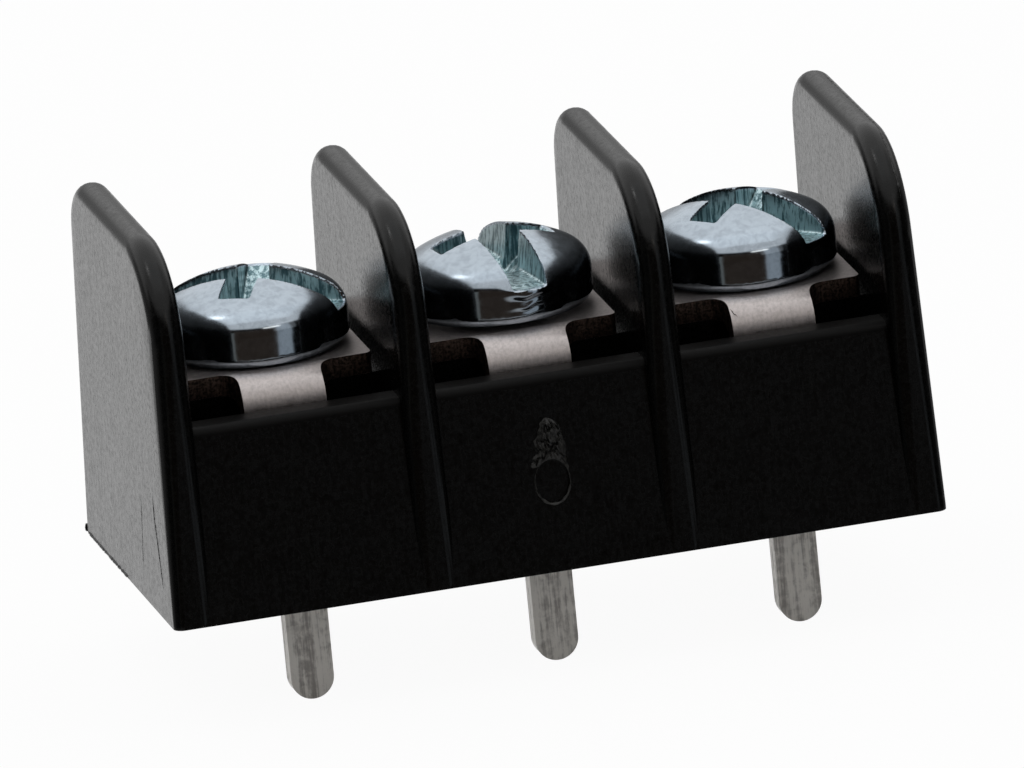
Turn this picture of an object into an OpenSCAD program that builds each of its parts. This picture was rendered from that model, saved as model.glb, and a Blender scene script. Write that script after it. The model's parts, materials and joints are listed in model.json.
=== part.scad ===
// Barrier terminal strip: one row of three poles for a printed circuit board.
// A moulded housing holds three stamped terminals, each with a clamp screw.
// Millimetres. X runs along the row, Y points to the back, Z points up, and
// the origin is the middle of the face that sits on the board.

/* [Row] */
// Distance from one pole to the next
pitch = 9.525; // [9.2:0.005:12]

/* [Housing] */
// Depth of the base on the board
base_d = 15.24; // [15:0.02:18]
// Height of the barriers above the board
barrier_h = 14.5; // [12.5:0.05:18]
// Thickness of a barrier at the board
barrier_t = 1.52; // [1.36:0.02:1.8]
// Thickness of a barrier at its top
barrier_top_t = 1.28; // [1.1:0.01:1.34]
// Width of the flat left between the rounded edges of a barrier's top
barrier_top_flat = 0.04; // [0.02:0.02:0.4]
// Radius of a barrier's front top corner
front_corner_r = 3.9; // [2:0.1:4.5]
// Radius of a barrier's back top corner
back_corner_r = 2.45; // [1:0.05:3]
// How far a barrier's front edge leans back on its way up
barrier_front_lean = 0.06; // [0:0.02:0.6]
// How far a barrier's back edge leans forward on its way up
barrier_back_lean = 1.15; // [0.6:0.05:2.2]
// How far an outer end face leans in on its way up
end_lean = 0.27; // [0.2:0.01:0.4]
// Rounding of the base's upright corners
base_corner_r = 0.4; // [0.2:0.05:0.6]
// Height of the front wall
wall_h = 7.5; // [6.8:0.05:7.7]
// Thickness of the front wall at its top
wall_t = 1.45; // [1.1:0.05:1.5]
// How far the front wall leans back on its way up
wall_lean = 0.75; // [0.5:0.05:0.9]
// Rounding of the wall's top edges
wall_edge_r = 0.35; // [0.2:0.05:0.5]
// Height of the platform that carries the terminals
platform_h = 7.84; // [7.75:0.01:8.6]
// How far the platform's front stands behind the plate's front edge
platform_inset = 0.15; // [0:0.05:0.3]
// How far the back face leans forward on its way up
back_lean = 0.75; // [0.4:0.05:1.2]
// Thickness of the floor under the screws and the necks
floor_t = 1.9; // [1.2:0.05:2.1]
// Radius of the well under each screw
well_r = 2.0; // [1.9:0.05:2.2]
// Radius of the moulding gate's mark on the front
gate_r = 0.7; // [0.4:0.02:0.9]
// Height of the moulding gate's mark above the board
gate_z = 3.45; // [3:0.05:4.4]
// Depth of the moulding gate's mark
gate_depth = 0.12; // [0.04:0.02:0.3]
// Slant of the moulding gate from the face's normal
gate_slant = 37; // [0:1:45]

/* [Terminal] */
// Thickness of the terminal's sheet brass
sheet_t = 0.81; // [0.6:0.01:0.9]
// Distance from the screw to the plate's front edge
plate_front = 3.42; // [3:0.01:3.6]
// Distance from the screw to the plate's back edge
plate_back = 4.3; // [3.6:0.1:5.2]
// Outside radius of the bend from the plate to the neck
bend_r = 1.25; // [1.1:0.01:1.7]
// Rounding of the plate's corners
plate_corner_r = 0.3; // [0.1:0.05:0.8]
// Width of the neck
neck_w = 3.2; // [2.6:0.05:4]
// Fillet between the plate and the neck
neck_fillet_r = 0.75; // [0.4:0.05:1]
// Width of the pin
pin_w = 1.65; // [1.2:0.05:2.2]
// Length of the pin below the board face
pin_l = 4.1; // [3:0.1:6]
// Outside radius of the collar drawn down round the tapped hole
collar_r = 2.3; // [2.15:0.05:2.4]
// Height of the collar below the plate
collar_h = 1.4; // [0.8:0.1:1.8]

/* [Screw] */
// Major diameter of the screw's thread
thread_d = 3.5; // [3.4:0.05:3.6]
// Length of the screw under its head
screw_l = 6.35; // [5.5:0.05:6.4]
// Diameter of the head
head_d = 7.3; // [6:0.05:7.4]
// Height of the undercut rim below the head's side
rim_h = 0.3; // [0.15:0.05:0.5]
// How far the undercut rim draws in
rim_in = 0.22; // [0.1:0.02:0.4]
// Height of the head's upright side
side_h = 0.85; // [0.7:0.05:1.4]
// Height of the head's dome, with its shoulder
dome_h = 1.86; // [1.5:0.02:2]
// Rounding of the shoulder between the side and the dome
shoulder_r = 1.19; // [0.4:0.01:1.3]
// Width of the driver slot at its floor
slot_w = 1.3; // [0.8:0.05:1.5]
// Depth of the driver slot below the dome's top
slot_depth = 1.6; // [1:0.05:1.8]
// Slant of each wall of the driver slot
slot_draft = 8.5; // [0:0.5:10]
// Width of a wing of the cross recess
wing_w = 1.2; // [0.8:0.05:1.3]
// Reach of a wing of the cross recess from the screw's axis
wing_reach = 2.9; // [1.8:0.05:3]
// Depth of the cross recess below the dome's top
cross_depth = 2.05; // [1.6:0.05:2.2]
// How far each screw is turned, from the left pole to the right
screw_turns = [153, 98, 132]; // [-180:1:180]
// How far each screw is backed out, from the left pole to the right
screw_lifts = [0, 0.12, 0]; // [0:0.01:0.5]

/* [Fits] */
// Running gap round a screw's thread
thread_gap = 0.03; // [0.02:0.01:0.06]
// Gap between a screw's head and its plate
head_gap = 0.05; // [0.02:0.01:0.1]
// Gap between a terminal and the housing's slots
slot_gap = 0.05; // [0.03:0.01:0.1]
// Gap between a plate's side and the foot of a barrier
plate_gap = 0.25; // [0.2:0.01:0.5]

/* [Hidden] */
poles = 3;
joined = 0.01;          // overlap that joins two solids of one piece
through = 1;            // how far a cut runs past what it cuts
arc_steps = 6;          // straight steps in a quarter of a rounded outline
row_half = pitch * poles / 2;
barrier_edge_r = (barrier_top_t - barrier_top_flat) / 2;
base_front = -base_d / 2;
wall_front = base_front + wall_lean;
wall_back = wall_front + wall_t;
neck_front = wall_back + slot_gap;
plate_front_y = neck_front + bend_r;
screw_y = plate_front_y + plate_front;
plate_w = pitch - barrier_t - 2 * plate_gap;
platform_front = plate_front_y + platform_inset;
plate_top = platform_h + sheet_t;
head_z = plate_top + head_gap;
thread_r = thread_d / 2;
head_r = head_d / 2;
side_top = head_z + rim_h + side_h;
dome_top = side_top + dome_h;
shoulder_x = head_r - shoulder_r;
dome_r = (pow(shoulder_x, 2) + pow(dome_h, 2) - pow(shoulder_r, 2)) / (2 * (dome_h - shoulder_r));
shoulder_turn = asin((side_top - dome_top + dome_r) / (dome_r - shoulder_r));   // up to the dome
black = [0.05, 0.05, 0.05];
tin = [0.78, 0.75, 0.72];
zinc = [0.72, 0.77, 0.82];

function pole_x(i) = (i - (poles - 1) / 2) * pitch;
function barrier_x(i) = (i - poles / 2) * pitch;
function arc(cx, cy, r, from, to, steps = arc_steps) =
    [for (k = [0:steps]) let (a = from + (to - from) * k / steps)
        [cx + r * cos(a), cy + r * sin(a)]];

// Puts an outline drawn in Y and Z across the row, from x0 to x1
module across(x0, x1) {
    translate([x0, 0, 0]) rotate([90, 0, 90]) linear_extrude(x1 - x0) children();
}

// A disc on the X axis with a rounded rim
module rounded_disc(r, t) {
    rotate([0, 90, 0]) rotate_extrude($fn = 64)
        polygon(concat([[0, -t / 2]],
            arc(r - barrier_edge_r, -t / 2 + barrier_edge_r, barrier_edge_r, -90, 0),
            arc(r - barrier_edge_r, t / 2 - barrier_edge_r, barrier_edge_r, 0, 90),
            [[0, t / 2]]));
}

// One barrier: upright corners at the board, rounded edges and corners at the top
module barrier(i) {
    lean = i == 0 ? 1 : i == poles ? -1 : 0;
    x_foot = barrier_x(i);
    x_top = x_foot + lean * (end_lean - (barrier_t - barrier_top_t) / 2);
    foot_x = barrier_t / 2 - base_corner_r;
    foot_y = base_d / 2 - base_corner_r;
    hull() {
        translate([x_top, base_front + barrier_front_lean + front_corner_r, barrier_h - front_corner_r])
            rounded_disc(front_corner_r, barrier_top_t);
        translate([x_top, base_d / 2 - barrier_back_lean - back_corner_r, barrier_h - back_corner_r])
            rounded_disc(back_corner_r, barrier_top_t);
        for (sx = [-1, 1], sy = [-1, 1])
            translate([x_foot + sx * foot_x, sy * foot_y, 0])
                cylinder(r = base_corner_r, h = 0.2, $fn = 32);
    }
}

// Side outline of the block between two barriers: front wall, neck channel, platform
module block_outline() {
    difference() {
        polygon(concat(
            [[base_front, 0]],
            arc(wall_front + wall_edge_r, wall_h - wall_edge_r, wall_edge_r, 180, 90),
            arc(wall_back - wall_edge_r, wall_h - wall_edge_r, wall_edge_r, 90, 0),
            [[platform_front, platform_h]],
            arc(base_d / 2 - back_lean - wall_edge_r, platform_h - wall_edge_r, wall_edge_r, 90, 0),
            [[base_d / 2, 0]]));
        translate([wall_back, floor_t])
            square([platform_front - wall_back, platform_h]);
    }
}

// Shallow oval mark that the slanted moulding gate left on the leaning front face
module gate_mark() {
    translate([0, base_front + wall_lean * gate_z / wall_h, gate_z])
        rotate([-atan(wall_lean / wall_h), 0, 0]) intersection() {
            rotate([90 - gate_slant, 0, 0]) cylinder(r = gate_r, h = 6 * gate_r, center = true, $fn = 64);
            translate([-2 * gate_r, -through, -2 * gate_r]) cube([4 * gate_r, through + gate_depth, 4 * gate_r]);
        }
}

module housing() {
    color(black) difference() {
        union() {
            across(-row_half, row_half) block_outline();
            for (i = [0:poles]) barrier(i);
        }
        for (i = [0:poles - 1]) translate([pole_x(i), 0, 0]) {
            // well for the screw and the terminal's collar
            translate([0, screw_y, floor_t]) cylinder(r = well_r, h = platform_h, $fn = 64);
            translate([0, screw_y, platform_h - collar_h - slot_gap])
                cylinder(r = collar_r + slot_gap, h = platform_h, $fn = 64);
            // slot for the pin
            translate([-pin_w / 2 - slot_gap, neck_front - slot_gap, -through])
                cube([pin_w + 2 * slot_gap, sheet_t + 2 * slot_gap, floor_t + 2 * through]);
        }
        gate_mark();
    }
}

// Side outline of a terminal's bent sheet
module terminal_outline() {
    difference() {
        union() {
            translate([plate_front_y, platform_h]) square([plate_front + plate_back, sheet_t]);
            intersection() {
                translate([plate_front_y, plate_top - bend_r]) circle(r = bend_r, $fn = 96);
                translate([plate_front_y - bend_r, plate_top - bend_r]) square([bend_r, bend_r]);
            }
            translate([neck_front, -pin_l]) square([sheet_t, pin_l + plate_top - bend_r]);
        }
        translate([plate_front_y, plate_top - bend_r]) circle(r = bend_r - sheet_t, $fn = 96);
    }
}

// Plate and neck from above, with fillets where the neck leaves the plate
module terminal_plan() {
    neck_l = plate_front_y - neck_front + joined;
    difference() {
        union() {
            translate([-plate_w / 2 + plate_corner_r, plate_front_y])
                square([plate_w - 2 * plate_corner_r, plate_front + plate_back]);
            translate([-plate_w / 2, plate_front_y + plate_corner_r])
                square([plate_w, plate_front + plate_back - 2 * plate_corner_r]);
            for (sx = [-1, 1], y = [plate_front_y + plate_corner_r, screw_y + plate_back - plate_corner_r])
                translate([sx * (plate_w / 2 - plate_corner_r), y]) circle(r = plate_corner_r, $fn = 32);
            translate([-neck_w / 2 - neck_fillet_r, plate_front_y - neck_fillet_r])
                square([neck_w + 2 * neck_fillet_r, neck_fillet_r + joined]);
            translate([-neck_w / 2, plate_front_y - neck_l]) square([neck_w, neck_l + joined]);
        }
        for (sx = [-1, 1])
            translate([sx * (neck_w / 2 + neck_fillet_r), plate_front_y - neck_fillet_r])
                circle(r = neck_fillet_r, $fn = 48);
    }
}

// Neck and pin from the front: a shoulder at the floor and a round end
module terminal_front() {
    translate([-neck_w / 2, floor_t + slot_gap])
        square([neck_w, plate_top - bend_r - floor_t]);
    translate([-pin_w / 2, -pin_l + pin_w / 2]) square([pin_w, pin_l + floor_t]);
    translate([0, -pin_l + pin_w / 2]) circle(r = pin_w / 2, $fn = 48);
}

module terminal(i) {
    color(tin) translate([pole_x(i), 0, 0]) difference() {
        union() {
            intersection() {
                across(-plate_w, plate_w) terminal_outline();
                union() {
                    translate([0, 0, plate_top - bend_r]) linear_extrude(bend_r + through) terminal_plan();
                    translate([0, plate_front_y - joined, 0]) rotate([90, 0, 0])
                        linear_extrude(bend_r) terminal_front();
                }
            }
            translate([0, screw_y, platform_h - collar_h]) cylinder(r = collar_r, h = collar_h + joined, $fn = 64);
        }
        translate([0, screw_y, platform_h - collar_h - through])
            cylinder(r = thread_r + thread_gap, h = collar_h + sheet_t + 2 * through, $fn = 64);
    }
}

// One wing pair of the cross recess: long at the dome, short at the bottom
module wings() {
    foot = wing_w / 2;
    top_z = through;
    flare = (wing_reach - foot) / cross_depth;
    rotate([90, 0, 0]) linear_extrude(wing_w, center = true)
        polygon([[-foot, -cross_depth], [foot, -cross_depth],
                 [wing_reach + flare * top_z, top_z], [-wing_reach - flare * top_z, top_z]]);
}

// Half outline of a screw, spun into the solid
module screw_outline() {
    tip = 0.5;
    screw_end = head_z - screw_l;
    edge_x = dome_r * cos(shoulder_turn);
    edge_z = dome_top - dome_r + dome_r * sin(shoulder_turn);
    polygon(concat(
        [[0, screw_end], [thread_r - tip, screw_end], [thread_r, screw_end + tip],
         [thread_r, head_z], [head_r - rim_in, head_z], [head_r, head_z + rim_h]],
        arc(shoulder_x, side_top, shoulder_r, 0, shoulder_turn, 2 * arc_steps),
        [[0, edge_z]]));
    intersection() {
        translate([0, dome_top - dome_r]) circle(r = dome_r, $fn = 160);
        translate([0, edge_z - joined]) square([edge_x, dome_h]);
    }
}

// Driver slot across the whole head, with slanted walls
module driver_slot() {
    slot_floor = dome_top - slot_depth;
    slot_top = dome_top + through;
    widen = (slot_top - slot_floor) * tan(slot_draft);
    across(-head_d, head_d)
        polygon([[-slot_w / 2, slot_floor], [slot_w / 2, slot_floor],
                 [slot_w / 2 + widen, slot_top], [-slot_w / 2 - widen, slot_top]]);
}

module screw(i) {
    color(zinc) translate([pole_x(i), screw_y, screw_lifts[i]]) rotate([0, 0, screw_turns[i]]) difference() {
        rotate_extrude($fn = 96) screw_outline();
        driver_slot();
        translate([0, 0, dome_top]) wings();
        translate([0, 0, dome_top]) rotate([0, 0, 90]) wings();
    }
}

housing();
for (i = [0:poles - 1]) {
    terminal(i);
    screw(i);
}
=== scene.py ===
import bpy
import json
import math
import random
from mathutils import Matrix, Vector

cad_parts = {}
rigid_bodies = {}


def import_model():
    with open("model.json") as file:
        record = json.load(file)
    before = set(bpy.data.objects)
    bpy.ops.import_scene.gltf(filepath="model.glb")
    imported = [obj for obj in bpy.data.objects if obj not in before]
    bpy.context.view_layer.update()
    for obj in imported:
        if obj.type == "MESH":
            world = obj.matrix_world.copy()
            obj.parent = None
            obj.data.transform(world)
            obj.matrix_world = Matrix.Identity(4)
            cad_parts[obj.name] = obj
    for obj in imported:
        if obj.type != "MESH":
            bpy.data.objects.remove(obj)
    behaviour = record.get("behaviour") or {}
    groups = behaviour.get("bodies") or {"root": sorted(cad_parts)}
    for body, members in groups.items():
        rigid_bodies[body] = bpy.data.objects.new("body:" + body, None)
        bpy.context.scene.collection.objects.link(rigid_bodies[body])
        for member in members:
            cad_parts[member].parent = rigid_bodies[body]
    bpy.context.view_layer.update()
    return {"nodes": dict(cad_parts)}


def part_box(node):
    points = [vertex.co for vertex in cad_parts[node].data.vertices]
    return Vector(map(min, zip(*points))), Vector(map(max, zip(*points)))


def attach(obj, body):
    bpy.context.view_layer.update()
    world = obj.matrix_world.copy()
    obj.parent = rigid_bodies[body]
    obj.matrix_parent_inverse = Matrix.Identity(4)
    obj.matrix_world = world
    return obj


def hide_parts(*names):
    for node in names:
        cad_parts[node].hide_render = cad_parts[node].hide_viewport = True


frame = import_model()
mm = 0.001
mergeGap = 0.002 * mm
print("frame loaded:", ", ".join(sorted(frame["nodes"])))


def deselectAll():
    if bpy.context.mode != "OBJECT":
        bpy.ops.object.mode_set(mode="OBJECT")
    bpy.ops.object.select_all(action="DESELECT")


def pick(piece):
    deselectAll()
    piece.select_set(True)
    bpy.context.view_layer.objects.active = piece


def editAll(piece):
    pick(piece)
    bpy.ops.object.mode_set(mode="EDIT")
    bpy.ops.mesh.select_all(action="SELECT")


def applyAll(piece):
    pick(piece)
    for modifier in list(piece.modifiers):
        bpy.ops.object.modifier_apply(modifier=modifier.name)


def placeInMesh(piece):
    pick(piece)
    bpy.ops.object.transform_apply(location=True, rotation=True, scale=True)


def selectFaces(piece, test):
    # test gets a face; leaves edit mode ready with just those faces selected
    editAll(piece)
    bpy.ops.mesh.select_mode(type="FACE")
    bpy.ops.mesh.select_all(action="DESELECT")
    bpy.ops.object.mode_set(mode="OBJECT")
    for face in piece.data.polygons:
        face.select = test(face)
    bpy.ops.object.mode_set(mode="EDIT")


def mergedCopy(nodeName, pieceName, flatAngle):
    # the solid's own shape as one clean skin, to soften and finish
    piece = bpy.data.objects.new(pieceName, frame["nodes"][nodeName].data.copy())
    bpy.context.scene.collection.objects.link(piece)
    pick(piece)
    if piece.data.has_custom_normals:
        bpy.ops.mesh.customdata_custom_splitnormals_clear()
    editAll(piece)
    bpy.ops.mesh.remove_doubles(threshold=mergeGap)
    bpy.ops.mesh.dissolve_limited(angle_limit=math.radians(flatAngle))
    bpy.ops.object.mode_set(mode="OBJECT")
    piece.data.materials.clear()
    return piece


def softenEdges(piece, width, angle):
    bevel = piece.modifiers.new("edgeSoftening", "BEVEL")
    bevel.width = width
    bevel.segments = 2
    bevel.limit_method = "ANGLE"
    bevel.angle_limit = math.radians(angle)
    bevel.use_clamp_overlap = True
    bevel.miter_outer = "MITER_ARC"
    applyAll(piece)


def smoothShade(piece, angle, weigh=True):
    pick(piece)
    bpy.ops.object.shade_smooth_by_angle(angle=math.radians(angle))
    if not weigh:
        return
    weighted = piece.modifiers.new("evenNormals", "WEIGHTED_NORMAL")
    weighted.keep_sharp = True
    applyAll(piece)


# camera
cameraSettings = {"yaw": 12.04, "elevation": 15.91, "roll": -5.571, "distance": 1.232,
                  "lens": 1143.984375, "sensor": 36, "nearest": 0.01, "target": (0.0003669, 0, 0.005345)}


def setCamera(s):
    yaw, rise, roll = (math.radians(s[k]) for k in ("yaw", "elevation", "roll"))
    back = Vector((-math.sin(yaw) * math.cos(rise), -math.cos(yaw) * math.cos(rise), math.sin(rise)))
    right = Vector((math.cos(yaw), -math.sin(yaw), 0))
    up = back.cross(right)
    sideways = right * math.cos(roll) + up * math.sin(roll)
    upwards = up * math.cos(roll) - right * math.sin(roll)
    camera = bpy.data.objects.new("camera", bpy.data.cameras.new("camera"))
    bpy.context.scene.collection.objects.link(camera)
    place = Matrix((sideways, upwards, back)).transposed().to_4x4()
    place.translation = Vector(s["target"]) + back * s["distance"]
    camera.matrix_world = place
    camera.data.sensor_width = s["sensor"]
    camera.data.lens = s["lens"]
    camera.data.clip_start = s["nearest"]
    bpy.context.scene.camera = camera


setCamera(cameraSettings)
print("camera placed")


# small helpers for node trees
def addNode(tree, kind, **values):
    node = tree.nodes.new(kind)
    for key, value in values.items():
        setattr(node, key, value)
    return node


def feed(tree, socket, value):
    # a plain number is set, and anything else comes from another node
    if isinstance(value, (int, float)):
        socket.default_value = value
    else:
        tree.links.new(value, socket)


def mathNode(tree, operation, first, second=None, clamp=False):
    node = addNode(tree, "ShaderNodeMath", operation=operation, use_clamp=clamp)
    feed(tree, node.inputs[0], first)
    if second is not None:
        feed(tree, node.inputs[1], second)
    return node.outputs[0]


def rangeNode(tree, value, low, high, toLow=0.0, toHigh=1.0):
    node = addNode(tree, "ShaderNodeMapRange", interpolation_type="SMOOTHSTEP")
    tree.links.new(value, node.inputs["Value"])
    for name, number in (("From Min", low), ("From Max", high), ("To Min", toLow), ("To Max", toHigh)):
        node.inputs[name].default_value = number
    return node.outputs["Result"]


def meanNode(tree, first, second):
    return mathNode(tree, "MULTIPLY", mathNode(tree, "ADD", first, second), 0.5)


# studio: each card round the object has its glow, and its edge says where it starts and where it is full
studio = {"backGlow": 1.0, "topGlow": 0.7, "lowGlow": 0.35, "sideGlow": 0.04, "frontGlow": 0.006,
          "backEdge": (-0.1, 0.3), "topEdge": (0.46, 0.56), "lowEdge": (0.36, 0.6), "sideEdge": (0.7, 0.98),
          "frontEdge": (-0.25, -0.05), "flagShade": 0.7, "flagSides": (0.28, 0.6), "flagTop": (0.15, 0.4),
          "dimShade": 0.55, "dimBand": (0.07, 0.2, 0.07), "windowSoft": (0.03, 0.02), "leastDepth": 0.05,
          "floorLevel": -4.1 * mm, "floorSize": 3, "floorColour": (0.9, 0.9, 0.9, 1), "floorWhite": 0.95,
          "aim": (0, 0, 6 * mm)}
lamps = {"keyPanel": {"place": (-0.23, 0.04, 0.49), "size": (0.1, 0.1), "power": 0.07, "colour": (1, 1, 1),
                      "shape": "DISK"},
         "topPanel": {"place": (0.0, -0.08, 0.6), "size": (0.7, 0.5), "power": 0.4, "colour": (0.93, 0.97, 1.0),
                      "shape": "RECTANGLE"},
         "fillPanel": {"place": (0.25, -0.5, 0.25), "size": (0.3, 0.3), "power": 0.04, "colour": (1, 1, 1),
                       "shape": "RECTANGLE"}}
# what the metal mirrors in the dark front of the room: middle and half width (x over depth), then of height
frontWindows = [
    {"side": (0.5, 0.2), "height": (0.07, 0.42), "glow": 0.36, "colour": (0.86, 0.93, 1.0)},
    {"side": (-0.82, 0.12), "height": (-0.1, 0.4), "glow": 0.16, "colour": (0.97, 1.0, 0.95)},
    {"side": (-0.2, 0.52), "height": (-0.1, 0.5), "glow": 0.03, "colour": (1.0, 0.7, 0.52)},
    {"side": (0.22, 0.2), "height": (0.46, 0.035), "glow": 1.7, "colour": (1.0, 0.93, 0.86)}]


def bandMask(tree, value, middle, half, soft):
    away = mathNode(tree, "ABSOLUTE", mathNode(tree, "SUBTRACT", value, middle))
    return rangeNode(tree, away, half - soft, half + soft, 1, 0)


def setWorld(s, windows):
    world = bpy.data.worlds.new("studioWorld")
    bpy.context.scene.world = world
    world.use_nodes = True
    tree = world.node_tree
    background = tree.nodes["Background"]
    place = addNode(tree, "ShaderNodeTexCoord")
    parts = addNode(tree, "ShaderNodeSeparateXYZ")
    tree.links.new(place.outputs["Generated"], parts.inputs[0])
    x, y, z = (parts.outputs[i] for i in range(3))
    away, down = mathNode(tree, "ABSOLUTE", x), mathNode(tree, "MULTIPLY", z, -1)
    # white card behind, softer card overhead, pale table low down, dark room in front
    glow = rangeNode(tree, y, *s["backEdge"], s["frontGlow"], s["backGlow"])
    # the card is dimmer in a band above the table, and black flags stand low at both its sides
    dim = mathNode(tree, "MULTIPLY", bandMask(tree, z, *s["dimBand"]), s["dimShade"])
    flag = mathNode(tree, "MULTIPLY", rangeNode(tree, away, *s["flagSides"], 0, s["flagShade"]),
                    rangeNode(tree, z, *s["flagTop"], 1, 0))
    glow = mathNode(tree, "MULTIPLY", glow, rangeNode(tree, mathNode(tree, "MAXIMUM", dim, flag), 0, 1, 1, 0))
    for value, card in ((z, "top"), (down, "low"), (away, "side")):
        glow = mathNode(tree, "MAXIMUM", glow, rangeNode(tree, value, *s[card + "Edge"], 0, s[card + "Glow"]))
    colour = addNode(tree, "ShaderNodeCombineXYZ")
    for channel in range(3):
        tree.links.new(glow, colour.inputs[channel])
    colour = colour.outputs[0]
    depth = mathNode(tree, "MAXIMUM", mathNode(tree, "MULTIPLY", y, -1), s["leastDepth"])
    side = mathNode(tree, "DIVIDE", x, depth)
    inFront = rangeNode(tree, y, *s["frontEdge"], 1, 0)
    for window in windows:
        mask = mathNode(tree, "MULTIPLY", bandMask(tree, side, *window["side"], s["windowSoft"][0]),
                        bandMask(tree, z, *window["height"], s["windowSoft"][1]))
        mask = mathNode(tree, "MULTIPLY", mathNode(tree, "MULTIPLY", mask, inFront), window["glow"])
        add = addNode(tree, "ShaderNodeVectorMath", operation="MULTIPLY_ADD")
        add.inputs[0].default_value = window["colour"]
        tree.links.new(mask, add.inputs[1])
        tree.links.new(colour, add.inputs[2])
        colour = add.outputs[0]
    rays = addNode(tree, "ShaderNodeLightPath")
    seen = addNode(tree, "ShaderNodeMix", data_type="RGBA")
    tree.links.new(rays.outputs["Is Camera Ray"], seen.inputs["Factor"])
    tree.links.new(colour, seen.inputs["A"])
    seen.inputs["B"].default_value = (1, 1, 1, 1)
    tree.links.new(seen.outputs["Result"], background.inputs["Color"])


def addPanel(name, s, aim):
    data = bpy.data.lights.new(name, "AREA")
    data.shape = s["shape"]
    data.size, data.size_y = s["size"]
    data.energy = s["power"]
    data.color = s["colour"]
    lamp = bpy.data.objects.new(name, data)
    bpy.context.scene.collection.objects.link(lamp)
    lamp.location = s["place"]
    lamp.rotation_euler = (Vector(s["place"]) - Vector(aim)).to_track_quat("Z", "Y").to_euler()


def addFloor(s):
    deselectAll()
    bpy.ops.mesh.primitive_plane_add(size=s["floorSize"], location=(0, 0, s["floorLevel"]))
    floor = bpy.context.active_object
    floor.name = "floor"
    placeInMesh(floor)
    pale = bpy.data.materials.new("floorPale")
    pale.use_nodes = True
    tree = pale.node_tree
    tree.nodes.clear()
    shade = addNode(tree, "ShaderNodeBsdfDiffuse")
    shade.inputs["Color"].default_value = s["floorColour"]
    glow = addNode(tree, "ShaderNodeEmission")
    rays = addNode(tree, "ShaderNodeLightPath")
    mix = addNode(tree, "ShaderNodeMixShader")
    out = addNode(tree, "ShaderNodeOutputMaterial")
    # nearly white to the camera, and what is left keeps the shadow
    tree.links.new(mathNode(tree, "MULTIPLY", rays.outputs["Is Camera Ray"], s["floorWhite"]), mix.inputs[0])
    tree.links.new(shade.outputs[0], mix.inputs[1])
    tree.links.new(glow.outputs[0], mix.inputs[2])
    tree.links.new(mix.outputs[0], out.inputs[0])
    glow.inputs["Strength"].default_value = 1.0
    floor.data.materials.append(pale)
    # the world's pale table stands in for it in reflections
    floor.visible_glossy = False


setWorld(studio, frontWindows)
for name, lamp in lamps.items():
    addPanel(name, lamp, studio["aim"])
addFloor(studio)
bpy.context.scene.view_settings.view_transform = "Standard"
print("studio lit")


# shared effects
def newGroup(name, inputs, outputs):
    group = bpy.data.node_groups.new(name, "ShaderNodeTree")
    for label, kind, value in inputs:
        socket = group.interface.new_socket(label, in_out="INPUT", socket_type=kind)
        socket.default_value = value
    for label, kind in outputs:
        group.interface.new_socket(label, in_out="OUTPUT", socket_type=kind)
    return group, addNode(group, "NodeGroupInput"), addNode(group, "NodeGroupOutput")


def objectPlace(tree, stretch):
    # object coordinates in millimetres, drawn out along one way
    place = addNode(tree, "ShaderNodeTexCoord")
    mapping = addNode(tree, "ShaderNodeMapping")
    mapping.inputs["Scale"].default_value = tuple(1000 * v for v in stretch)
    tree.links.new(place.outputs["Object"], mapping.inputs["Vector"])
    return mapping.outputs["Vector"]


def noiseNode(tree, vector, scale, detail=4.0, rough=0.55, distortion=0.0):
    node = addNode(tree, "ShaderNodeTexNoise")
    tree.links.new(vector, node.inputs["Vector"])
    for name, value in (("Scale", scale), ("Detail", detail), ("Roughness", rough), ("Distortion", distortion)):
        feed(tree, node.inputs[name], value)
    return node.outputs["Fac"]


def makeStreaks():
    # fine drawn lines along Z with a broken edge, for moulding drag and drawn metal
    group, given, result = newGroup("drawnStreaks",
                                    [("Density", "NodeSocketFloat", 6.0), ("Contrast", "NodeSocketFloat", 0.2)],
                                    [("Mask", "NodeSocketFloat"), ("Height", "NodeSocketFloat")])
    place = objectPlace(group, (1, 1, 0.06))
    fine = noiseNode(group, place, given.outputs["Density"], 5, 0.62)
    patchy = noiseNode(group, objectPlace(group, (1, 1, 0.5)), 0.8, 3, 0.5)
    lines = mathNode(group, "MULTIPLY", mathNode(group, "SUBTRACT", fine, 0.5), given.outputs["Contrast"])
    mixed = mathNode(group, "MULTIPLY", lines, mathNode(group, "ADD", patchy, 0.5))
    group.links.new(mathNode(group, "ADD", mixed, 0.5, clamp=True), result.inputs["Mask"])
    group.links.new(fine, result.inputs["Height"])
    return group


def makeGrain():
    # even fine grain with slow mottling over it
    group, given, result = newGroup("surfaceGrain",
                                    [("Size", "NodeSocketFloat", 12.0), ("Mottle", "NodeSocketFloat", 0.9)],
                                    [("Mask", "NodeSocketFloat"), ("Height", "NodeSocketFloat")])
    place = objectPlace(group, (1, 1, 1))
    group.links.new(noiseNode(group, place, given.outputs["Mottle"], 4, 0.6, 0.4), result.inputs["Mask"])
    group.links.new(noiseNode(group, place, given.outputs["Size"], 3, 0.6), result.inputs["Height"])
    return group


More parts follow.
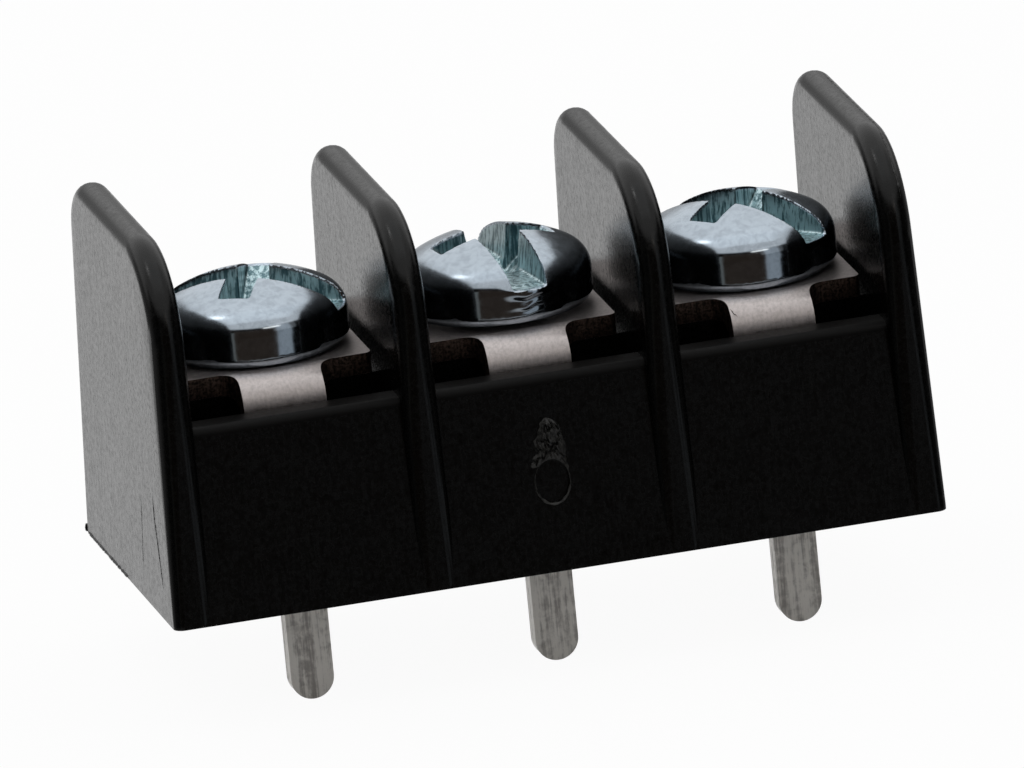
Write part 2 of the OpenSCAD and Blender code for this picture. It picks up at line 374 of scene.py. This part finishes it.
def makeSpecks():
    # sparse pits and dust, as small round marks
    group, given, result = newGroup("sparseSpecks",
                                    [("Spacing", "NodeSocketFloat", 1.4), ("Radius", "NodeSocketFloat", 0.1)],
                                    [("Mask", "NodeSocketFloat")])
    cells = addNode(group, "ShaderNodeTexVoronoi")
    group.links.new(objectPlace(group, (1, 1, 1)), cells.inputs["Vector"])
    group.links.new(given.outputs["Spacing"], cells.inputs["Scale"])
    cells.inputs["Randomness"].default_value = 1.0
    inside = mathNode(group, "LESS_THAN", cells.outputs["Distance"], given.outputs["Radius"])
    rare = addNode(group, "ShaderNodeSeparateColor")
    group.links.new(cells.outputs["Color"], rare.inputs[0])
    group.links.new(mathNode(group, "MULTIPLY", inside, mathNode(group, "GREATER_THAN", rare.outputs[0], 0.55)),
                    result.inputs["Mask"])
    return group


streaks, grain, specks = makeStreaks(), makeGrain(), makeSpecks()


def useGroup(tree, group, values):
    node = addNode(tree, "ShaderNodeGroup", node_tree=group)
    for key, value in values.items():
        node.inputs[key].default_value = value
    return node.outputs


def newFinish(name, metallic, specular=0.5):
    material = bpy.data.materials.new(name)
    material.use_nodes = True
    shader = material.node_tree.nodes["Principled BSDF"]
    shader.inputs["Metallic"].default_value = metallic
    shader.inputs["Specular IOR Level"].default_value = specular
    return material, material.node_tree, shader


def colourFrom(tree, shader, mask, s):
    node = addNode(tree, "ShaderNodeMix", data_type="RGBA")
    tree.links.new(mask, node.inputs["Factor"])
    node.inputs["A"].default_value = (*s["dark"], 1)
    node.inputs["B"].default_value = (*s["light"], 1)
    tree.links.new(node.outputs["Result"], shader.inputs["Base Color"])


def bumpFrom(tree, shader, height, strength, depth):
    bump = addNode(tree, "ShaderNodeBump")
    bump.inputs["Strength"].default_value = strength
    bump.inputs["Distance"].default_value = depth
    tree.links.new(height, bump.inputs["Height"])
    tree.links.new(bump.outputs["Normal"], shader.inputs["Normal"])


# finishes: the two ends of colour and roughness, the stretch of noise that the colours run over, the values that
# each effect is given, and the bump's strength and depth
noiseSpan = (0.3, 0.7)
plasticFinish = {"name": "blackMouldedPlastic", "specular": 0.32, "dark": (0.0004, 0.0004, 0.0003),
                 "light": (0.0016, 0.0015, 0.0013), "rough": (0.13, 0.36), "drag": {"Density": 9.0, "Contrast": 0.5},
                 "grain": {"Size": 24.0, "Mottle": 5.5}, "grainHeight": 0.6, "dust": {"Spacing": 1.3, "Radius": 0.07},
                 "dustHeight": 0.8, "bump": (0.22, 0.006 * mm)}
# painted shade for the front wall's top edge: a duller, less shiny, slightly browner copy of the plastic
edgeShadeFinish = {**plasticFinish, "name": "scuffedPlastic", "specular": 0.12, "dark": (0.0005, 0.0004, 0.0003),
                 "light": (0.003, 0.0024, 0.002), "rough": (0.42, 0.56)}
tornFinish = {"dark": (0.003, 0.003, 0.0028), "light": (0.026, 0.025, 0.023), "span": (0.36, 0.64),
              "rough": (0.25, 0.5), "grain": {"Size": 9.0, "Mottle": 5.0}, "bump": (0.6, 0.02 * mm)}
tinFinish = {"dark": (0.44, 0.4, 0.385), "light": (0.62, 0.565, 0.55), "span": (0.34, 0.62), "rough": (0.36, 0.46),
             "drag": {"Density": 9.0, "Contrast": 0.7}, "grain": {"Size": 22.0, "Mottle": 7.0},
             "bump": (0.4, 0.012 * mm)}
pinFinish = {"metallic": 0.45, "dark": (0.4, 0.375, 0.35), "light": (0.86, 0.83, 0.78), "span": (0.3, 0.6),
             "rough": 0.42, "drag": {"Density": 3.2, "Contrast": 4.5}, "hair": {"Density": 14.0, "Contrast": 2.0},
             "grain": {"Size": 16.0, "Mottle": 3.0}, "bump": (0.5, 0.02 * mm)}
cutFinish = {"metallic": 0.85, "dark": (0.01, 0.007, 0.005), "light": (0.1, 0.066, 0.052), "span": (0.17, 0.34),
             "rough": 0.5, "drag": {"Density": 9.0, "Contrast": 0.5}, "grain": {"Size": 13.0, "Mottle": 9.0},
             "bump": (0.8, 0.03 * mm)}
zincFinish = {"dark": (0.38, 0.435, 0.49), "light": (0.47, 0.535, 0.6), "span": (0.3, 0.62), "rough": (0.08, 0.13),
              "dullFrom": 10.2, "dullTo": 10.8, "dullness": 0.13, "grain": {"Size": 16.0, "Mottle": 3.0},
              "pits": {"Spacing": 5.0, "Radius": 0.13}, "pitShade": 0.5, "pitDepth": 0.7, "bump": (0.08, 0.002 * mm)}
recessFinish = {"dark": (0.1, 0.17, 0.19), "light": (0.5, 0.64, 0.67), "span": (0.3, 0.62), "rough": 0.3,
                "drag": {"Density": 7.0, "Contrast": 4.0}, "grain": {"Size": 14.0, "Mottle": 2.6},
                "bump": (0.6, 0.03 * mm)}


def makePlastic(s):
    material, tree, shader = newFinish(s["name"], 0.0, s["specular"])
    drag, fine = useGroup(tree, streaks, s["drag"]), useGroup(tree, grain, s["grain"])
    dust = useGroup(tree, specks, s["dust"])
    mask = mathNode(tree, "MAXIMUM", fine["Mask"], dust["Mask"])
    colourFrom(tree, shader, mask, s)
    blend = meanNode(tree, drag["Mask"], fine["Mask"])
    tree.links.new(rangeNode(tree, blend, *noiseSpan, *s["rough"]), shader.inputs["Roughness"])
    height = mathNode(tree, "ADD", drag["Height"], mathNode(tree, "MULTIPLY", fine["Height"], s["grainHeight"]))
    height = mathNode(tree, "SUBTRACT", height, mathNode(tree, "MULTIPLY", dust["Mask"], s["dustHeight"]))
    bumpFrom(tree, shader, height, *s["bump"])
    return material


def makeTornPlastic(s):
    material, tree, shader = newFinish("tornPlastic", 0.0)
    fine = useGroup(tree, grain, s["grain"])
    mask = rangeNode(tree, fine["Mask"], *s["span"])
    colourFrom(tree, shader, mask, s)
    tree.links.new(rangeNode(tree, fine["Mask"], *noiseSpan, *s["rough"]), shader.inputs["Roughness"])
    bumpFrom(tree, shader, fine["Height"], *s["bump"])
    return material


def makeTin(s):
    material, tree, shader = newFinish("tinPlate", 1.0)
    drag, fine = useGroup(tree, streaks, s["drag"]), useGroup(tree, grain, s["grain"])
    mask = rangeNode(tree, meanNode(tree, drag["Mask"], fine["Mask"]), *s["span"])
    colourFrom(tree, shader, mask, s)
    tree.links.new(rangeNode(tree, fine["Mask"], *noiseSpan, *s["rough"]), shader.inputs["Roughness"])
    bumpFrom(tree, shader, mathNode(tree, "ADD", fine["Height"], drag["Height"]), *s["bump"])
    return material


def makePinTin(s):
    # dipped and drawn, so duller than the plate and scored along its length
    material, tree, shader = newFinish("dippedPinTin", s["metallic"])
    drag, hair = useGroup(tree, streaks, s["drag"]), useGroup(tree, streaks, s["hair"])
    fine = useGroup(tree, grain, s["grain"])
    mask = meanNode(tree, meanNode(tree, drag["Mask"], hair["Mask"]), fine["Mask"])
    colourFrom(tree, shader, rangeNode(tree, mask, *s["span"]), s)
    shader.inputs["Roughness"].default_value = s["rough"]
    bumpFrom(tree, shader, mathNode(tree, "ADD", drag["Height"], fine["Height"]), *s["bump"])
    return material


def makeCutEdge(s):
    material, tree, shader = newFinish("bareCutEdge", s["metallic"])
    drag, fine = useGroup(tree, streaks, s["drag"]), useGroup(tree, grain, s["grain"])
    mask = rangeNode(tree, mathNode(tree, "MULTIPLY", drag["Mask"], fine["Mask"]), *s["span"])
    colourFrom(tree, shader, mask, s)
    shader.inputs["Roughness"].default_value = s["rough"]
    bumpFrom(tree, shader, mathNode(tree, "ADD", drag["Height"], fine["Height"]), *s["bump"])
    return material


def makeZinc(s):
    material, tree, shader = newFinish("brightZincPlate", 1.0)
    fine, pits = useGroup(tree, grain, s["grain"]), useGroup(tree, specks, s["pits"])
    mask = mathNode(tree, "SUBTRACT", rangeNode(tree, fine["Mask"], *s["span"]),
                    mathNode(tree, "MULTIPLY", pits["Mask"], s["pitShade"]), clamp=True)
    colourFrom(tree, shader, mask, s)
    # the dome is rubbed duller than the side, from one height in millimetres to another
    place = addNode(tree, "ShaderNodeSeparateXYZ")
    tree.links.new(objectPlace(tree, (1, 1, 1)), place.inputs[0])
    dull = rangeNode(tree, place.outputs["Z"], s["dullFrom"], s["dullTo"], 0, s["dullness"])
    rough = rangeNode(tree, fine["Mask"], *noiseSpan, *s["rough"])
    tree.links.new(mathNode(tree, "ADD", rough, dull), shader.inputs["Roughness"])
    height = mathNode(tree, "SUBTRACT", fine["Height"], mathNode(tree, "MULTIPLY", pits["Mask"], s["pitDepth"]))
    bumpFrom(tree, shader, height, *s["bump"])
    return material


def makeRecess(s):
    material, tree, shader = newFinish("punchedZincRecess", 1.0)
    drag, fine = useGroup(tree, streaks, s["drag"]), useGroup(tree, grain, s["grain"])
    mask = rangeNode(tree, meanNode(tree, drag["Mask"], fine["Mask"]), *s["span"])
    colourFrom(tree, shader, mask, s)
    shader.inputs["Roughness"].default_value = s["rough"]
    bumpFrom(tree, shader, drag["Height"], *s["bump"])
    return material


plastic, edgeShadePlastic = makePlastic(plasticFinish), makePlastic(edgeShadeFinish)
tin, cutEdge = makeTin(tinFinish), makeCutEdge(cutFinish)
tornPlastic, pinTin = makeTornPlastic(tornFinish), makePinTin(pinFinish)
zinc, recess = makeZinc(zincFinish), makeRecess(recessFinish)
print("finishes made")


# housing
# the band that gets the painted shade is given by its heights, its depths and how far its faces must face up
housingSettings = {"flatAngle": 0.4, "edge": 0.05 * mm, "edgeAngle": 40, "smoothAngle": 32,
                   "shadedEdgeHeights": (7.12 * mm, 7.55 * mm), "shadedEdgeDepths": (-7 * mm, -5.3 * mm),
                   "shadedEdgeRise": 0.1}


def makeHousing(s):
    piece = mergedCopy("housing", "housing_body", s["flatAngle"])
    softenEdges(piece, s["edge"], s["edgeAngle"])
    smoothShade(piece, s["smoothAngle"])
    piece.data.materials.append(plastic)
    piece.data.materials.append(edgeShadePlastic)
    # painted shade: the front wall's top edge takes the duller, less shiny copy of the plastic, which holds back the
    # overhead light's highlight there
    (bottom, top), (front, back) = s["shadedEdgeHeights"], s["shadedEdgeDepths"]
    for face in piece.data.polygons:
        onEdge = bottom < face.center.z < top and front < face.center.y < back
        face.material_index = 1 if onEdge and face.normal.z > s["shadedEdgeRise"] else 0
    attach(piece, "strip")
    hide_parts("housing")
    return piece


housing = makeHousing(housingSettings)
print("housing finished:", len(housing.data.polygons), "faces")


# torn gate stub: lengths in millimetres, and each wave as its size and its rate
gateSettings = {"middle": 0.02, "markHeight": 3.45, "halfWide": 0.68, "halfHigh": 0.87, "topHeight": 5.88,
                "lift": 0.16, "faceY": -7.62, "lean": 0.1, "cuts": 64, "lip": 0.05, "seed": 11, "ridges": 7,
                "leftWide": 0.7, "leftTaper": 0.55, "leftBlunt": 6, "leftWaves": ((0.13, 15), (0.06, 37)),
                "rightWide": 0.64, "rightTaper": 0, "rightBlunt": 5, "rightWaves": ((0.05, 17),),
                "leastHalf": 0.02, "leftFoot": 0.52, "rightFoot": 0.12, "footSink": 0.03, "edgeSink": 0.02,
                "rise": 0.03, "steps": 3.1, "stepSlant": 0.9, "stepRipple": 0.16, "sheet": 0.05, "lipTube": 0.05,
                "smoothAngle": 40}


def makeGateTear(s):
    # the rough patch where the moulding gate was pulled off, and the lip it left round its mark
    draw = random.Random(s["seed"])
    ridges = [(draw.uniform(0, 6.28), draw.uniform(5, 19), draw.uniform(-0.9, 0.9)) for _ in range(s["ridges"])]

    def onFace(x, z, high):
        return Vector((x, s["faceY"] + s["lean"] * z - high, z)) * mm

    def halfWidth(side, v):
        # a blunt top over a tapered and wavy flank
        waves = 1 + sum(size * math.sin(rate * v) for size, rate in s[side + "Waves"])
        return s[side + "Wide"] * (1 - s[side + "Taper"] * v) * (1 - v ** s[side + "Blunt"]) ** 0.7 * waves

    deselectAll()
    bpy.ops.mesh.primitive_grid_add(x_subdivisions=s["cuts"], y_subdivisions=s["cuts"], size=2,
                                    rotation=(math.pi / 2, 0, 0))
    tear = bpy.context.active_object
    tear.name = "gate_tear"
    placeInMesh(tear)
    for vertex in tear.data.vertices:
        u, v = vertex.co.x, (vertex.co.z + 1) / 2
        x = u * max(halfWidth("right" if u > 0 else "left", v), s["leastHalf"])
        # it starts on the round mark, whose edge falls away to the sides
        least = s["leftFoot"] if u < 0 else s["rightFoot"]
        fall = math.sqrt(max(least, 1 - min(1, abs(x) / s["halfWide"]) ** 2))
        foot = s["markHeight"] + s["halfHigh"] * fall - s["footSink"]
        z = foot + (s["topHeight"] - foot) * v
        # steps that run down to the left, as the plastic tore
        ripple = sum(math.sin(k * (v + t * u) + p) for p, k, t in ridges)
        step = (v * s["steps"] - u * s["stepSlant"] + s["stepRipple"] * ripple) % 1
        rough = 1.6 * step - 0.8 + 0.2 * math.sin(23 * u + 9 * v)
        # along its edge it thins out and dips into the wall, soonest at the foot and last at the sides
        edge = min(1, (1 - abs(u)) * 5, (1 - v) * 6, v * 8)
        high = (s["rise"] + s["lift"] * (0.5 + 0.5 * rough)) * max(0, edge) - s["edgeSink"]
        vertex.co = onFace(s["middle"] + x, z, high)
    thick = tear.modifiers.new("stubThickness", "SOLIDIFY")
    thick.thickness = s["sheet"] * mm
    thick.offset = -1
    applyAll(tear)

    deselectAll()
    bpy.ops.mesh.primitive_torus_add(major_segments=72, minor_segments=8, major_radius=1, minor_radius=s["lipTube"],
                                     rotation=(math.pi / 2, 0, 0))
    lip = bpy.context.active_object
    placeInMesh(lip)
    for vertex in lip.data.vertices:
        angle = math.atan2(vertex.co.z, vertex.co.x)
        ring = Vector((math.cos(angle), 0, math.sin(angle)))
        tube = (vertex.co - ring) / s["lipTube"]
        # thin and uneven, heaviest at the foot of the mark
        size = s["lip"] * (0.5 - 0.5 * math.sin(angle)) * (1 + 0.3 * math.sin(11 * angle)) + 0.004
        out = size * tube.dot(ring)
        x = s["middle"] + (s["halfWide"] + out) * math.cos(angle)
        z = s["markHeight"] + (s["halfHigh"] + out) * math.sin(angle)
        vertex.co = onFace(x, z, -0.5 * size - tube.y * size)
    deselectAll()
    lip.select_set(True)
    tear.select_set(True)
    bpy.context.view_layer.objects.active = tear
    bpy.ops.object.join()
    editAll(tear)
    bpy.ops.mesh.remove_doubles(threshold=mergeGap)
    bpy.ops.mesh.normals_make_consistent(inside=False)
    bpy.ops.object.mode_set(mode="OBJECT")
    smoothShade(tear, s["smoothAngle"])
    tear.data.materials.append(tornPlastic)
    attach(tear, "strip")


makeGateTear(gateSettings)
print("gate tear added")


# terminals
terminalSettings = {"flatAngle": 0.4, "edge": 0.05 * mm, "edgeAngle": 40, "smoothAngle": 35, "pinCut": 1.2 * mm,
                    "pinTop": 1.5 * mm, "plateEdge": (0.95 * mm, 0.04 * mm), "neckDeep": 0.9 * mm, "steep": 0.3,
                    "sideways": 0.75}


def makeTerminal(index, s):
    piece = mergedCopy(f"terminal_{index}", f"terminal_skin_{index}", s["flatAngle"])
    low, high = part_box(f"terminal_{index}")
    plateTop, front = high.z, low.y
    plateLow, plateHigh = (plateTop - depth for depth in s["plateEdge"])
    # a cut across the pin's root, so that its duller finish starts on a straight line
    editAll(piece)
    bpy.ops.mesh.bisect(plane_co=(0, 0, s["pinCut"]), plane_no=(0, 0, 1))
    bpy.ops.object.mode_set(mode="OBJECT")
    softenEdges(piece, s["edge"], s["edgeAngle"])
    smoothShade(piece, s["smoothAngle"])
    piece.data.materials.append(tin)
    piece.data.materials.append(cutEdge)
    piece.data.materials.append(pinTin)
    for face in piece.data.polygons:
        n, c = face.normal, face.center
        edgeOfPlate = plateLow < c.z < plateHigh and c.y > front + s["neckDeep"] and abs(n.z) < s["steep"]
        edgeOfNeck = 0 < c.z < plateTop and abs(n.x) > s["sideways"]
        onPin = max(piece.data.vertices[i].co.z for i in face.vertices) < s["pinTop"]
        face.material_index = 2 if onPin else 1 if edgeOfPlate or edgeOfNeck else 0
    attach(piece, "strip")
    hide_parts(f"terminal_{index}")


for index in (1, 2, 3):
    makeTerminal(index, terminalSettings)
print("terminals finished")


# screws
screwSettings = {"flatAngle": 0.3, "skin": 0.05 * mm, "rolling": 10, "smoothAngle": 50,
                 "shank": 6.35 * mm, "shankCut": 0.12 * mm, "core": (6.1 * mm, 3.06 * mm), "tipInset": 0.25 * mm,
                 "pitch": 0.794 * mm, "root": 1.27 * mm, "crest": 1.74 * mm, "turns": 6, "turnSteps": 40,
                 "toothHalf": 0.46, "crestHalf": 0.05 * mm, "toothSink": 0.05 * mm, "firstTooth": 0.06 * mm,
                 "rimHigh": 0.3 * mm, "sideHigh": 0.85 * mm, "shoulder": 1.19 * mm, "domeHigh": 1.86 * mm,
                 "pressed": 0.952, "slotTurns": {1: 153, 2: 98, 3: 132}, "slotDeep": 1.6 * mm,
                 "slotHalf": 0.65 * mm, "slotLean": 0.15, "wingHalf": 0.62 * mm, "wingReach": 2.35 * mm,
                 "middle": 0.05 * mm, "rimKept": 0.12 * mm, "cornerFrom": 0.03 * mm, "cornerOver": 0.05 * mm,
                 "cutReach": 0.2 * mm, "recessDeep": 2.4 * mm, "recessGap": 0.1 * mm, "recessRim": 0.08 * mm}
burrs = {2: {"turn": 278, "push": 0.14 * mm, "wave": 0.52 * mm, "onRim": 0.84, "halfWide": 1.8 * mm,
             "above": 0.35 * mm, "below": 1.15 * mm, "fadeWide": 0.8 * mm, "fadeBelow": 0.5 * mm,
             "lip": 0.3 * mm, "body": 0.22, "folds": 0.16, "droop": 0.3}}


def nearestOnHead(radius, height, headRadius, sideTop, s):
    # the closest point of the unbroken head's outline: side, shoulder or dome
    if height <= sideTop:
        return Vector((headRadius, height))
    shoulderX = headRadius - s["shoulder"]
    ball = (shoulderX ** 2 + s["domeHigh"] ** 2 - s["shoulder"] ** 2) / (2 * (s["domeHigh"] - s["shoulder"]))
    turn = math.asin((ball - s["domeHigh"]) / (ball - s["shoulder"]))
    angle = math.atan2(height - sideTop, radius - shoulderX)
    if angle < turn:
        return Vector((shoulderX, sideTop)) + s["shoulder"] * Vector((math.cos(angle), math.sin(angle)))
    centre = Vector((0, sideTop + s["domeHigh"] - ball))
    return centre + (Vector((radius, height)) - centre).normalized() * ball


def trueUp(piece, axis, headRadius, sideTop, s, slotTurn):
    # takes the ripple out of the head's turned surface and leaves its rolled edges
    ahead = Vector((math.cos(math.radians(slotTurn)), math.sin(math.radians(slotTurn)), 0))
    for vertex in piece.data.vertices:
        away = vertex.co - axis
        radius = math.hypot(away.x, away.y)
        if vertex.co.z < sideTop - s["sideHigh"] + s["rimKept"] or radius < s["middle"]:
            continue
        here = Vector((radius, vertex.co.z))
        nearest = nearestOnHead(radius, vertex.co.z, headRadius, sideTop, s)
        keep = min(1, max(0, ((here - nearest).length - s["cornerFrom"]) / s["cornerOver"]))
        # the tool cuts keep their own walls, and away from them the surface is exact
        along, across = abs(away.dot(ahead)), abs(away.x * ahead.y - away.y * ahead.x)
        slotWall = s["slotHalf"] + s["slotLean"] * (here.y - sideTop - s["domeHigh"] + s["slotDeep"])
        clear = min(across - slotWall, max(along - s["wingHalf"], across - s["wingReach"]))
        keep *= min(1, max(0, 1 - clear / s["cutReach"]))
        here = nearest.lerp(here, keep * keep * (3 - 2 * keep))
        vertex.co = Vector((axis.x + away.x / radius * here.x, axis.y + away.y / radius * here.x, here.y))


def raiseBurr(piece, axis, headRadius, slotFloor, s):
    # the slot's punch pushed a lip of metal out over the head's side, in a few folds
    facing = math.radians(s["turn"])
    for vertex in piece.data.vertices:
        away = vertex.co - axis
        radius = math.hypot(away.x, away.y)
        if radius < headRadius * s["onRim"]:
            continue
        across = math.remainder(math.atan2(away.y, away.x) - facing, 2 * math.pi) * radius
        down = slotFloor - vertex.co.z
        if abs(across) > s["halfWide"] or down < -s["above"] or down > s["below"]:
            continue
        fade = math.exp(-(across / s["fadeWide"]) ** 2)
        fade *= min(1, (down + s["above"]) / s["above"]) * min(1, (s["below"] - down) / s["fadeBelow"])
        # rings spread from just above the slot's end, bent by two finer waves
        ring = math.hypot(0.8 * across + 0.25 * down, 1.3 * (down + 0.2 * mm)) / s["wave"]
        uneven = 1.3 * math.sin(across / (0.37 * mm) + 1) + 0.5 * math.sin(across / (0.13 * mm))
        folds = math.sin(2 * math.pi * ring + uneven)
        push = s["push"] * fade * (math.exp(-(down / s["lip"]) ** 2) + s["body"] + s["folds"] * folds)
        vertex.co.x += away.x / radius * push
        vertex.co.y += away.y / radius * push
        vertex.co.z -= s["droop"] * push


def makeScrew(index, s):
    piece = mergedCopy(f"screw_{index}", f"clamp_screw_skin_{index}", s["flatAngle"])
    low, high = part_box(f"screw_{index}")
    axis = Vector(((low.x + high.x) / 2, (low.y + high.y) / 2, 0))
    headRadius, underHead = (high.x - low.x) / 2, low.z + s["shank"]
    sideTop = underHead + s["rimHigh"] + s["sideHigh"]
    top = sideTop + s["domeHigh"]
    # the plain shank goes, a threaded one takes its place
    editAll(piece)
    bpy.ops.mesh.bisect(plane_co=(0, 0, underHead - s["shankCut"]), plane_no=(0, 0, 1), clear_inner=True,
                        use_fill=True)
    bpy.ops.object.mode_set(mode="OBJECT")
    # one even skin, so that the punched edges can be rolled over
    skin = piece.modifiers.new("evenSkin", "REMESH")
    skin.mode = "VOXEL"
    skin.voxel_size = s["skin"]
    applyAll(piece)
    roll = piece.modifiers.new("rolledEdges", "SMOOTH")
    roll.factor = 0.5
    roll.iterations = s["rolling"]
    applyAll(piece)
    trueUp(piece, axis, headRadius, sideTop, s, s["slotTurns"][index])
    if index in burrs:
        raiseBurr(piece, axis, headRadius, top - s["slotDeep"], burrs[index])

    deselectAll()
    coreLength, coreMiddle = s["core"]
    bpy.ops.mesh.primitive_cylinder_add(vertices=48, radius=s["root"], depth=coreLength,
                                        location=(axis.x, axis.y, low.z + coreMiddle))
    core = bpy.context.active_object
    placeInMesh(core)
    selectFaces(core, lambda face: face.normal.z < -0.9)
    bpy.ops.mesh.inset(thickness=s["tipInset"])
    bpy.ops.object.mode_set(mode="OBJECT")

    # one tooth's outline, swept up the core as a helix
    half, flat, foot = s["pitch"] * s["toothHalf"], s["crestHalf"], s["root"] - s["toothSink"]
    thread = bpy.data.meshes.new("threadTooth")
    start = low.z + half + s["firstTooth"]
    thread.from_pydata([(foot, 0, -half), (s["crest"], 0, -flat), (s["crest"], 0, flat), (foot, 0, half)],
                       [(0, 1), (1, 2), (2, 3), (3, 0)], [])
    tooth = bpy.data.objects.new("threadTooth", thread)
    bpy.context.scene.collection.objects.link(tooth)
    sweep = tooth.modifiers.new("threadSweep", "SCREW")
    sweep.axis = "Z"
    sweep.screw_offset = s["pitch"]
    sweep.iterations = s["turns"]
    sweep.steps = sweep.render_steps = s["turnSteps"]
    sweep.use_merge_vertices = False
    applyAll(tooth)
    tooth.location = (axis.x, axis.y, start)
    placeInMesh(tooth)
    editAll(tooth)
    bpy.ops.mesh.select_all(action="DESELECT")
    bpy.ops.mesh.select_mode(type="EDGE")
    bpy.ops.mesh.select_non_manifold(extend=False)
    bpy.ops.mesh.fill_holes(sides=6)
    bpy.ops.mesh.select_all(action="SELECT")
    bpy.ops.mesh.normals_make_consistent(inside=False)
    bpy.ops.object.mode_set(mode="OBJECT")

    deselectAll()
    for part in (core, tooth, piece):
        part.select_set(True)
    bpy.context.view_layer.objects.active = piece
    bpy.ops.object.join()
    smoothShade(piece, s["smoothAngle"], weigh=False)
    piece.data.materials.clear()
    piece.data.materials.append(zinc)
    piece.data.materials.append(recess)
    # what lies inside the turned outline is the slot and the cross
    for face in piece.data.polygons:
        radius, height = math.hypot(face.center.x - axis.x, face.center.y - axis.y), face.center.z
        gap = (Vector((radius, height)) - nearestOnHead(radius, height, headRadius, sideTop, s)).length
        punched = height > top - s["recessDeep"] and radius < headRadius - s["recessRim"] and gap > s["recessGap"]
        face.material_index = 1 if punched else 0
    # the dome is a little flatter than the turned outline
    for vertex in piece.data.vertices:
        rise = vertex.co.z - sideTop
        if rise > 0:
            vertex.co.z = sideTop + rise * s["pressed"]
    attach(piece, f"clamp_screw_{index}")
    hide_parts(f"screw_{index}")
    return piece


for index in (1, 2, 3):
    made = makeScrew(index, screwSettings)
print("screws finished:", len(made.data.polygons), "faces each")


# moulding marks and one scratch: paths and radii in millimetres
beadDefaults = {"host": "housing_body", "body": "strip", "slot": "housing_plastic", "finish": plastic, "sink": 0.5,
                "ragged": 0.3, "sides": 8, "taper": 8, "merge": 0.0005 * mm, "smoothAngle": 60}
beadSettings = {
    "mould_flash": {"radius": 0.04, "ragged": 0.7, "steps": 150, "sink": 0.3, "finish": tornPlastic, "seed": 7,
                    "path": [(14.42, 4.2, 14.5), (14.44, 0.5, 14.52), (14.44, -3.66, 14.52), (14.46, -5.3, 14.14),
                             (14.48, -6.5, 13.4), (14.5, -7.2, 12.2)]},
    "foot_flash": {"radius": 0.05, "ragged": 0.5, "steps": 90, "sink": 0.2, "seed": 3,
                   "path": [(-15.0, 7.58, 0.1), (-15.04, 6.5, 0.05), (-15.05, 3.5, 0.05), (-15.05, 0, 0.05)]},
    "flow_line_1": {"radius": 0.03, "steps": 60, "seed": 5,
                    "path": [(-15, -5.33, 4.75), (-15, -5.36, 3.9), (-15, -5.75, 2.4), (-15.1, -6.03, 1.2)]},
    "flow_line_2": {"radius": 0.016, "steps": 50, "seed": 6,
                    "path": [(-15, -3.2, 4.1), (-15, -2.9, 2.6), (-15.1, -2.6, 1.1)]},
    "neck_scratch": {"host": "terminal_skin_3", "slot": "tinned_brass", "radius": 0.022, "ragged": 0.2, "steps": 30,
                     "sink": 0.4, "finish": cutEdge, "seed": 8,
                     "path": [(7.98, -5.08, 8.6), (8.05, -5.5, 8.6), (8.2, -5.85, 8.5)]}}
footNub = {"place": (-14.93, 7.5, 0.16), "radius": 0.17, "lump": 0.2, "smoothAngle": 60}


def alongPath(path, share):
    # a point this share of the way along the path, by length
    spans = [(Vector(b) - Vector(a)).length for a, b in zip(path, path[1:])]
    left = share * sum(spans)
    for a, b, span in zip(path, path[1:], spans):
        if left <= span:
            return Vector(a).lerp(Vector(b), left / span)
        left -= span
    return Vector(path[-1])


def layBead(name, s):
    # a ragged bead of material laid along the host's surface, tapered at both ends
    draw = random.Random(s["seed"])
    host = bpy.data.objects[s["host"]]
    sizes = [1 + s["ragged"] * draw.uniform(-1, 1) for _ in range(s["steps"] + 1)]
    spots = []
    for k in range(s["steps"] + 1):
        _, place, normal, _ = host.closest_point_on_mesh(alongPath(s["path"], k / s["steps"]) * mm)
        spots.append((place, normal))
    deselectAll()
    bpy.ops.mesh.primitive_grid_add(x_subdivisions=s["steps"], y_subdivisions=s["sides"], size=2)
    bead = bpy.context.active_object
    bead.name = name
    placeInMesh(bead)
    for vertex in bead.data.vertices:
        step = round((vertex.co.x + 1) / 2 * s["steps"])
        turn = vertex.co.y * math.pi
        place, normal = spots[step]
        ahead = (spots[min(step + 1, s["steps"])][0] - spots[max(step - 1, 0)][0]).normalized()
        across = normal.cross(ahead).normalized()
        taper = min(1, step / s["taper"], (s["steps"] - step) / s["taper"])
        size = s["radius"] * mm * sizes[step] * taper
        vertex.co = place + across * size * math.sin(turn) + normal * size * (math.cos(turn) - s["sink"])
    editAll(bead)
    bpy.ops.mesh.remove_doubles(threshold=s["merge"])
    bpy.ops.mesh.normals_make_consistent(inside=False)
    bpy.ops.object.mode_set(mode="OBJECT")
    smoothShade(bead, s["smoothAngle"])
    bead.data.materials.append(s["finish"])
    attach(bead, s["body"])
    return bead


def addNub(bead, s):
    # a broken lump where the flash starts
    deselectAll()
    centre = Vector(s["place"]) * mm
    bpy.ops.mesh.primitive_ico_sphere_add(subdivisions=3, radius=s["radius"] * mm, location=centre)
    nub = bpy.context.active_object
    nub.data.materials.append(bead.data.materials[0])
    placeInMesh(nub)
    for vertex in nub.data.vertices:
        away = vertex.co - centre
        vertex.co = centre + away * (1 + s["lump"] * math.sin(31000 * away.x + 2) * math.sin(27000 * away.z + 1))
    deselectAll()
    nub.select_set(True)
    bead.select_set(True)
    bpy.context.view_layer.objects.active = bead
    bpy.ops.object.join()
    smoothShade(bead, s["smoothAngle"])


for name, settings in beadSettings.items():
    bead = layBead(name, {**beadDefaults, **settings})
    if name == "foot_flash":
        addNub(bead, footNub)
print("moulding marks added:", len(beadSettings))
